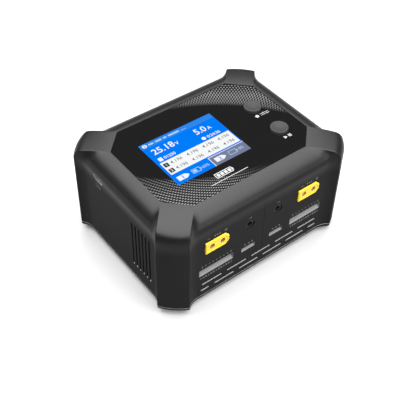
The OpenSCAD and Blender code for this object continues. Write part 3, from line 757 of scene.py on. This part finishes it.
# Places are centres, in x and z on the front and back walls and in y and z on the side walls.
OUT_X, OUT_Z, OUT_SIZE = 33.4, 44.4, (16, 8.1, 2.4)
BAL_X, BAL_Z, BAL_SIZE, BAL_PITCH = 33.2, 25.9, (24.2, 5), 2.5
SIG_X, SIG_Z, SIG_SIZE, SIG_PITCH = 10.3, 25.2, (10, 3.2), 2.54
JACK_X, JACK_Z, JACK_R = 10.2, 43.7, 3.25
USB_Y, USB_Z = 20.2, 55.2
FAN_X, FAN_Z, FAN_R, FAN_SCREW, GRILLE_PITCH = -20.0, 32.8, 18, 16, 4
INLET_X, INLET_Z, DC_Z = 32.0, 40.8, 20.8
VENT_ROWS, VENT_PITCH, VENT_HALF, VENT_END, VENT_H = ((15.6, 0), (10.8, 9)), 18, 7.2, 44, 1.1
SIDE_VENT_Y, SIDE_VENT_Z, SIDE_VENTS, SIDE_VENT_PITCH = -21.6, 31.8, 6, 3.26
SCREEN_SIZE, SCREEN_X = (52.8, 41), -11.6
KEY_X, KEYS = 37.9, (("setting", 8.2), ("start", -16.1))
SCREW_X, SCREW_Y = 58, 44
FRONT, BACK, SIDE = (-55, -46), (46, 55), (61, 70)   # depths that pass through a wall


def vent_slots():
    """(centre, length, height) of each slot in the front wall's two rows."""
    out = []
    for z, shift in VENT_ROWS:
        for i in range(-3, 3):
            a = max(i * VENT_PITCH + shift - VENT_HALF, -VENT_END)
            b = min(i * VENT_PITCH + shift + VENT_HALF, VENT_END)
            if b - a > 2:
                out.append(((a + b) / 2, b - a, z))
    return out


def side_slots():
    """Where the slots of a side wall stand along y."""
    return [SIDE_VENT_Y + (i - (SIDE_VENTS - 1) / 2) * SIDE_VENT_PITCH for i in range(SIDE_VENTS)]


def housing_cutters():
    """The inside and the openings. The parts of one cutter never overlap each other."""
    inside, crown, steps, holes = Solid(), Solid(), Solid(), Solid()
    inside.prism(octagon(62.1, 47.1, 12), 5, 55.8)
    crown.prism(octagon(54, 39, 12.6), 55.7, 64.2)
    holes.prism(rounded(*SCREEN_SIZE, 1, 4, (SCREEN_X, 0)), 64, 67)
    for _, y in KEYS:
        holes.prism(disc(5.9, 48, (KEY_X, y)), 64, 67)
    for s in (-1, 1):
        holes.prism(plug(*OUT_SIZE, (s * OUT_X, OUT_Z), 0.3), FRONT[0], -47, "y")
        for (w, h), at in ((BAL_SIZE, (s * BAL_X, BAL_Z)), (SIG_SIZE, (s * SIG_X, SIG_Z))):
            holes.prism(rounded(w, h, 0.4, 4, at), FRONT[0], -48, "y")
            steps.prism(rounded(w + 2, h + 2, 0.4, 4, at), -48.5, FRONT[1], "y")
        holes.prism(disc(JACK_R, 40, (s * JACK_X, JACK_Z)), *FRONT, "y")
    for x, w, z in vent_slots():
        holes.prism(rounded(w, VENT_H, 0.5, 5, (x, z)), *FRONT, "y")
    for s in (-1, 1):
        for y in side_slots():
            holes.prism(rounded(1.3, 34, 0.6, 5, (y, SIDE_VENT_Z)), *sorted(s * x for x in SIDE), "x")
    holes.prism(rounded(9.2, 3.4, 1.3, 6, (USB_Y, USB_Z)), -SIDE[1], -SIDE[0], "x")
    for i in range(-4, 5):
        for half in (-1, 1):
            reach = math.sqrt(FAN_R ** 2 - (GRILLE_PITCH * i) ** 2)
            at = (FAN_X + half * (reach + 1) / 2, FAN_Z + GRILLE_PITCH * i)
            holes.prism(rounded(reach - 1, 2.4, 1.1, 6, at), *BACK, "y")
    for x, z in corners(FAN_SCREW, FAN_SCREW):
        holes.prism(disc(1.6, 20, (FAN_X + x, FAN_Z + z)), *BACK, "y")
    holes.prism(rounded(22.4, 14.4, 0.6, 4, (INLET_X, INLET_Z)), *BACK, "y")
    holes.prism(plug(17, 9, 2.4, (INLET_X, DC_Z)), *BACK, "y")
    # a shallow groove down the middle of the front wall
    holes.prism(rounded(0.2, 37, 0.09, 3, (0, 37.3)), FRONT[0], -49.15, "y")
    for at in corners(SCREW_X, SCREW_Y):
        holes.prism(disc(1.4, 20, at), 4.8, 18.8)
    return [solid.mesh("cutter") for solid in (inside, crown, steps, holes)]


RING = plan_all()
MARKS = [station[3] for station in RING]


def build_housing():
    rows_below = ((57.0, 0), (40, 0), (24, 0), (SEAM_Z + 0.35, 0), (SEAM_Z + 0.1, 0.3))
    columns = soften([section_at(station, rows_below) for station in RING], MARKS)
    mesh = skin(columns, "housing_skin")
    for cutter in housing_cutters():
        mesh = cut(mesh, cutter)
    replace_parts(finish_mesh("housing_shell", mesh, HOUSING, 38), "top_housing")


def ring_rows(rows):
    """A band that follows the plan: rows of (height, inset)."""
    return soften([inset_rows(station[0], rows) for station in RING], MARKS)


def build_base():
    rows = [(SEAM_Z - 0.02, 3.0), (SEAM_Z - 0.02, 0.12), (SEAM_Z - 0.25, 0.0)]
    for degrees in range(15, 91, 15):
        a = math.radians(degrees)
        rows.append((5.3 - 1.5 * math.sin(a), 1.5 * (1 - math.cos(a)) + 0.05))
    mesh = skin(ring_rows(rows), "base_skin")
    openings, bores = Solid(), Solid()
    for y in (-10, 10):
        for i in range(-4, 5):
            openings.prism(rounded(2, 16, 0.9, 5, (i * 7, y)), 2, 8)
    for at in corners(SCREW_X, SCREW_Y):
        openings.prism(disc(3, 32, at), 2, 5.1)
        bores.prism(disc(1.5, 20, at), 5, 8)
    for cutter in (openings, bores):
        mesh = cut(mesh, cutter.mesh("base_cutter"))
    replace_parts(finish_mesh("base_tray", mesh, BASE, 38), "base_cover")


def build_seam_highlight():
    """A narrow bright band in the groove between the case and the base tray. Its pale grey is painted
    highlight, standing in for light on the shell's lower edge.
    """
    rows = [(SEAM_Z - 0.15, 0.9), (SEAM_Z - 0.08, 0.1), (SEAM_Z + 0.1, 0.0), (SEAM_Z + 0.28, 0.1),
            (SEAM_Z + 0.3, 0.9)]
    columns = ring_rows(rows)
    n, m = len(columns), len(rows)
    faces = [(i * m + k, i * m + (k + 1) % m, (i + 1) % n * m + (k + 1) % m, (i + 1) % n * m + k)
             for i in range(n) for k in range(m)]
    band = Solid().add([p for column in columns for p in column], faces)
    # the pale band is painted highlight along the shell's lower edge
    finish_mesh("seam_painted_highlight", band.mesh(), SEAM_HIGHLIGHT, 50)


build_housing()
build_base()
build_seam_highlight()

# ---- sockets and vents -----------------------------------------------------

WALL_FACE = -WALL_Y
PORT_BACK, PORT_FLOOR = -40.6, -42.2   # depths of a front socket's back and of its floor


def facing(outline, y):
    """An outline in x and z as a ring of points at depth y."""
    return [(x, y, z) for x, z in outline]


def build_header(name, x, z, w, h):
    """A pin header: a pale box whose lip fills the mouth in the wall, with a sloping lower lip."""
    def ring(grow, y, rise=0.0):
        high = h + grow - rise
        return facing(rounded(w + grow, high, 0.35, 3, (x, z + rise / 2)), y)
    slope = h / 2 - 0.65
    body = Solid().loft([ring(-0.16, WALL_FACE + 0.05), ring(-0.1, WALL_FACE + 0.12), ring(-0.1, -48.42),
                         ring(1.2, -48.42), ring(1.2, PORT_BACK)])
    hollow = Solid().loft([ring(-0.3, -50), ring(-0.3, WALL_FACE + 0.1),
                           ring(-0.9, WALL_FACE + 0.1 + slope, slope), ring(-0.9, PORT_FLOOR, slope)])
    mesh = cut(body.mesh(), hollow.mesh())
    slots = Solid()
    for side in (-1, 1):
        slots.prism(rounded(1.6, 1.4, 0.2, 3, (x + side * (w / 2 - 3), z + h / 2)), -50, -46.5, "y")
    piece = finish_mesh(name + "_header", cut(mesh, slots.mesh()), NYLON, 35)
    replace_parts(piece, name)


def build_power_socket(name, x, z):
    """A power socket: bevelled front, a raised rim and two round mouths."""
    def ring(grow, y):
        return facing(plug(*OUT_SIZE, (x, z), grow), y)
    body = Solid().loft([ring(-0.35, -50.1), ring(0, -49.75), ring(0, PORT_BACK)])
    tool = Solid().loft([ring(-0.9, -51), ring(-0.9, -49.75)])
    mesh = cut(body.mesh(), tool.mesh())
    holes = Solid()
    for pole in (-3.6, 3.6):
        holes.prism(disc(2.25, 40, (x + pole, z)), -52, -40, "y")
    piece = finish_mesh(name + "_face", cut(mesh, holes.mesh()), YELLOW, 35)
    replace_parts(piece, name)


def build_sockets():
    for side, s in (("left", -1), ("right", 1)):
        build_power_socket("output_socket_" + side, s * OUT_X, OUT_Z)
        build_header("balance_socket_" + side, s * BAL_X, BAL_Z, *BAL_SIZE)
        build_header("signal_socket_" + side, s * SIG_X, SIG_Z, *SIG_SIZE)
    rim = Solid().prism(rounded(9.1, 3.3, 1.3, 6, (USB_Y, USB_Z)), -64.15, -63.5, "x")
    mouth = Solid().prism(rounded(8.3, 2.5, 0.9, 6, (USB_Y, USB_Z)), -66, -62, "x")
    finish_mesh("usb_rim", cut(rim.mesh(), mouth.mesh()), STEEL, 35)


def build_vents():
    """Lower lips in the front slots, and a screen and a sill behind each side's slots. The pale grey of the
    lips and sills is painted highlight, standing in for light on the slot floors and on the slots' lower
    ends.
    """
    lips = Solid()
    front, back = WALL_FACE + 0.06, -47.6
    for x, w, z in vent_slots():
        section = [(front, z - VENT_H / 2), (back, z - VENT_H / 2), (back, z + 0.15), (front, z - 0.2)]
        lips.prism(section, x - w / 2 + 0.3, x + w / 2 - 0.3, "x")
    # the pale lips are painted highlight on the floors of the front slots
    finish_mesh("front_vent_lips_painted_highlight", lips.mesh(), VENT_LIP_HIGHLIGHT, 30)
    screens, sills = Solid(), Solid()
    for s in (-1, 1):
        screens.prism(rounded(21, 36, 1, 4, (SIDE_VENT_Y, SIDE_VENT_Z)), *sorted((s * 62.6, s * 63.2)), "x")
        for y in side_slots():
            sills.prism(rounded(1.2, 0.8, 0.3, 4, (y, 15.3)), *sorted((s * 63.1, s * 64.2)), "x")
    finish_mesh("side_vent_screens", screens.mesh(), SCREEN_CLOTH, 30)
    # the pale sills are painted highlight on the lower ends of the side slots
    finish_mesh("side_vent_sills_painted_highlight", sills.mesh(), VENT_LIP_HIGHLIGHT, 30)


def build_port_marks():
    """Grey generic marks round the sockets: poles, pin ticks and short bars."""
    marks = Solid()

    def bar(x, z, w, h):
        marks.prism(rect(x - w / 2, z - h / 2, x + w / 2, z + h / 2), WALL_FACE - 0.03, WALL_FACE + 0.02, "y")
    for s in (-1, 1):
        x, z = s * OUT_X, 51
        bar(x - 5.8, z, 2.0, 0.4)
        bar(x + 5.8, z, 2.0, 0.4)
        bar(x + 5.8, z + 0.6, 0.4, 0.8)
        bar(x + 5.8, z - 0.6, 0.4, 0.8)
        for k in range(3):
            bar(x - 1.6 + k * 1.6, z, 0.9, 0.9)
        x = s * BAL_X
        for k in range(9):
            bar(x + (k - 4) * BAL_PITCH, 30.5, 0.55, 1.6 if k in (0, 8) else 1.0)
        for k in range(13):
            bar(x - 10.8 + k * 1.8, 21.4, 1.1 if k % 3 else 0.6, 1.3)
        for k in range(3):
            bar(s * SIG_X + (k - 1) * SIG_PITCH, 28.8, 1.1, 0.8)
        bar(s * JACK_X, 49.2, 2.0, 0.35)
    finish_mesh("port_marks", marks.mesh(), DIM_INK, 30)
    side, depth = Solid(), (-WALL_X - 0.03, -WALL_X + 0.05)
    for k in range(3):
        side.prism(rounded(0.9, 0.5, 0.15, 3, (USB_Y - 2 + k * 2, 50.6)), *depth, "x")
    side.prism(rounded(5, 0.35, 0.1, 3, (USB_Y, 49.3)), *depth, "x")
    finish_mesh("usb_marks", side.mesh(), DIM_INK, 30)


build_sockets()
build_vents()
build_port_marks()

# ---- buttons, feet, screen and printed symbols ------------------------------

# (radius, height) from the middle below, round the flange and up to the dished top
BUTTON_PROFILE = (
    (0, 62.75), (2, 62.75), (2, 63.1), (6.4, 63.1), (6.4, 63.8), (5.6, 63.8),
    (5.6, 67.3), (5.5, 67.62), (5.28, 67.86), (4.95, 67.98), (4.6, 67.98),
    (4.2, 67.84), (3.4, 67.62), (2.4, 67.42), (1.2, 67.3), (0, 67.26))
FOOT_PROFILE = (
    (0, 3.8), (6.3, 3.8), (6.3, 3.2), (5.9, 1.0), (5.7, 0.4), (5.2, 0.05), (4.6, 0.0),
    (3.4, 0.0), (3.2, 0.2), (3.0, 0.7), (0, 0.7))
FOOT_X, FOOT_Y = 46, 34


def build_buttons():
    for name, y in KEYS:
        cap = Solid().lathe(BUTTON_PROFILE, (KEY_X, y), 64)
        piece = finish_mesh(name + "_button_cap", cap.mesh(), BUTTON, 50, name + "_key")
        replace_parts(piece, name + "_button")


def build_feet():
    for end, sy in (("front", -1), ("back", 1)):
        for side, sx in (("left", -1), ("right", 1)):
            foot = Solid().lathe(FOOT_PROFILE, (FOOT_X * sx, FOOT_Y * sy), 48)
            piece = finish_mesh(f"foot_pad_{end}_{side}", foot.mesh(), RUBBER, 40)
            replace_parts(piece, f"foot_{end}_{side}")


def label(text, size, at, bold=0.0, align="LEFT", shear=0.0, squeeze=1.0):
    """Outline of figures in the built-in font, as a flat mesh on the screen. at is (x, y)."""
    curve = bpy.data.curves.new("figures", "FONT")
    curve.body = text
    curve.size = size * MM
    curve.offset = bold * MM
    curve.extrude = 0.01 * MM
    curve.shear = shear
    curve.align_x = align
    curve.resolution_u = 3
    holder = bpy.data.objects.new("figures", curve)
    bpy.context.scene.collection.objects.link(holder)
    graph = bpy.context.evaluated_depsgraph_get()
    graph.update()
    mesh = bpy.data.meshes.new_from_object(holder.evaluated_get(graph))
    bpy.data.objects.remove(holder)
    place = Vector((*at, FIGURE_Z + (0.02 if align == "CENTER" else 0))) * MM
    mesh.transform(Matrix.Translation(place) @ Matrix.Diagonal((squeeze, 1, 1, 1)))
    return mesh


def join(meshes):
    bm = bmesh.new()
    for mesh in meshes:
        bm.from_mesh(mesh)
    out = bpy.data.meshes.new("joined")
    bm.to_mesh(out)
    bm.free()
    return out


PANEL_Z = 66.0
FIGURE_Z = PANEL_Z + 0.05
LAYER = 0.02


def flat(solid, outline, level):
    """A thin printed or lit area on the panel, level layers thick."""
    solid.prism(outline, PANEL_Z, PANEL_Z + level * LAYER)


def battery(solid, x, y, w, h, level, fill, line=0.35):
    """A battery symbol: outline, cap and a charge bar."""
    right, top = x + w, y + h
    for box in (rect(x, y, right, y + line), rect(x, top - line, right, top),
                rect(x, y + line, x + line, top - line), rect(right - line, y + line, right, top - line),
                rect(right, y + h * 0.3, right + 0.6, y + h * 0.7)):
        flat(solid, box, level)
    if fill:
        bar = rect(x + line * 2, y + line * 2, x + line * 2 + (w - 4 * line) * fill, top - line * 2)
        flat(solid, bar, level)


def channel_tag(solid, left, shoulder):
    """The pointed tag that holds a channel's number."""
    tip = shoulder + 2
    flat(solid, [(left, -17.3), (shoulder, -17.3), (tip, -15.9), (tip, -15.1), (shoulder, -13.7),
                 (left, -13.7)], 2)


def build_screen():
    white, strip, pale, grey_tab, dark = Solid(), Solid(), Solid(), Solid(), Solid()
    # title strip with bars and dots where words would be
    flat(strip, rect(-37, 15.3, 13.8, 19.3), 1)
    flat(white, disc(1.45, 28, (-34.1, 17.3)), 2)
    x = -31.6
    for w in (3.6, 4.4, 2.4, 7.8):
        flat(pale, rounded(w, 1.3, 0.5, 4, (x + w / 2, 17.2)), 2)
        x += w + 1.1
    for k in range(3):
        flat(pale, disc(0.35, 12, (x + 0.6 + k * 1.2, 16.8)), 2)
    # icons of the charge and time readings
    flat(white, rounded(2.6, 3.0, 0.4, 4, (-32.9, 3.2)), 2)
    flat(white, disc(1.35, 28, (-2.6, 3.2)), 2)
    # table of cells
    flat(white, rect(-35.4, -10.6, 13.1, 0.6), 1)
    for y in (-2.5, -7.7):
        flat(dark, rounded(3.1, 3.2, 0.3, 4, (-33.0, y)), 2)
    # the two channels' tabs
    channel_tag(white, -34.6, -29.2)
    battery(pale, -25, -17.2, 5.6, 3.4, 2, 0.6)
    flat(grey_tab, rect(-11.0, -19.5, 13.8, -12.0), 1)
    flat(white, rect(-11.4, -19.5, -11.0, -11.6), 2)
    flat(white, rect(-11.0, -12.0, 13.8, -11.6), 2)
    channel_tag(white, -8.8, -3.6)
    battery(pale, 0.8, -17.2, 5.4, 3.4, 2, 0)

    readings = [
        label("25.18", 6.6, (-33.6, 8.0), 0.10), label("V", 3.6, (-18.4, 8.0), 0.06),
        label("5.0", 6.6, (-4.2, 8.0), 0.10), label("A", 3.6, (4.6, 8.0), 0.06),
        label("01250", 3.1, (-30.6, 2.1), 0.05), label("0:24:36", 3.1, (-0.2, 2.1), 0.05)]
    percentages = [label("60%", 3.0, (-18.4, -16.6), 0.02), label("0%", 3.0, (7.6, -16.6), 0.02)]
    channel_numbers = [
        label("1", 3.0, (-34.15, 16.2), 0.08, "CENTER"), label("1", 3.6, (-31.2, -16.8), 0.08, "CENTER"),
        label("2", 3.4, (-5.4, -16.8), 0.08, "CENTER")]
    cell_readings = [
        label("4.196", 3.4, (-30.3 + k * 11.1, y), 0.02, shear=0.15, squeeze=1.05)
        for y in (-3.5, -8.7) for k in range(4)]
    row_numbers = [
        label("1", 2.6, (-33.0, -3.4), 0.05, "CENTER"), label("2", 2.6, (-33.0, -8.6), 0.05, "CENTER")]

    white_lit = glow("lit_white", (0.95, 0.96, 0.97), 0.08)
    pale_lit = glow("lit_pale", (0.45, 0.66, 1.0), 0.15)
    for name, mesh, mat in (
            ("screen_white", white.mesh(), white_lit),
            ("screen_title_strip", strip.mesh(), glow("lit_strip", (0.03, 0.25, 0.85), 0.2)),
            ("screen_pale_marks", pale.mesh(), pale_lit),
            ("screen_grey_tab", grey_tab.mesh(), glow("lit_grey", (0.19, 0.22, 0.33), 0.2)),
            ("screen_dark_badges", dark.mesh(), glow("lit_dark", (0.03, 0.03, 0.035), 0.1)),
            ("screen_readings", join(readings), white_lit),
            ("screen_percentages", join(percentages), pale_lit),
            ("screen_channel_numbers", join(channel_numbers), glow("lit_number", (0.0, 0.18, 0.85), 0.1)),
            ("screen_cell_readings", join(cell_readings), glow("lit_figure", (0.2, 0.2, 0.21), 0.1)),
            ("screen_row_numbers", join(row_numbers), white_lit)):
        finish_mesh(name, mesh, mat, 30)


def build_prints():
    marks = Solid()
    # a battery symbol over a thin rule, in front of the screen
    battery(marks, -17.0, -28.0, 11.6, 3.9, 2, 0, 0.5)
    for k in range(4):
        flat(marks, rounded(1.9, 2.1, 0.3, 4, (-14.9 + k * 2.5, -26.05)), 2)
    flat(marks, rect(-23.0, -30.6, 2.2, -30.2), 2)
    # a gear and two sliders beside the first key
    gear = []
    for k in range(32):
        r = 1.35 if k % 4 < 2 else 1.0
        gear.append((r * math.cos(math.pi * k / 16) + 35.2, r * math.sin(math.pi * k / 16) + 0.36))
    flat(marks, gear, 2)
    for y, x in ((1.0, 40.2), (-0.3, 42.4)):
        flat(marks, rect(37.8, y - 0.16, 44.0, y + 0.16), 2)
        flat(marks, rect(x - 0.4, y - 0.55, x + 0.4, y + 0.55), 2)
    # start and pause beside the second
    flat(marks, [(35.3, -24.9), (37.5, -23.7), (35.3, -22.5)], 2)
    for x in (38.9, 40.0):
        flat(marks, rect(x - 0.35, -24.8, x + 0.35, -22.6), 2)
    finish_mesh("panel_symbols", marks.mesh(), INK, 30)


build_buttons()
build_feet()
build_screen()
build_prints()
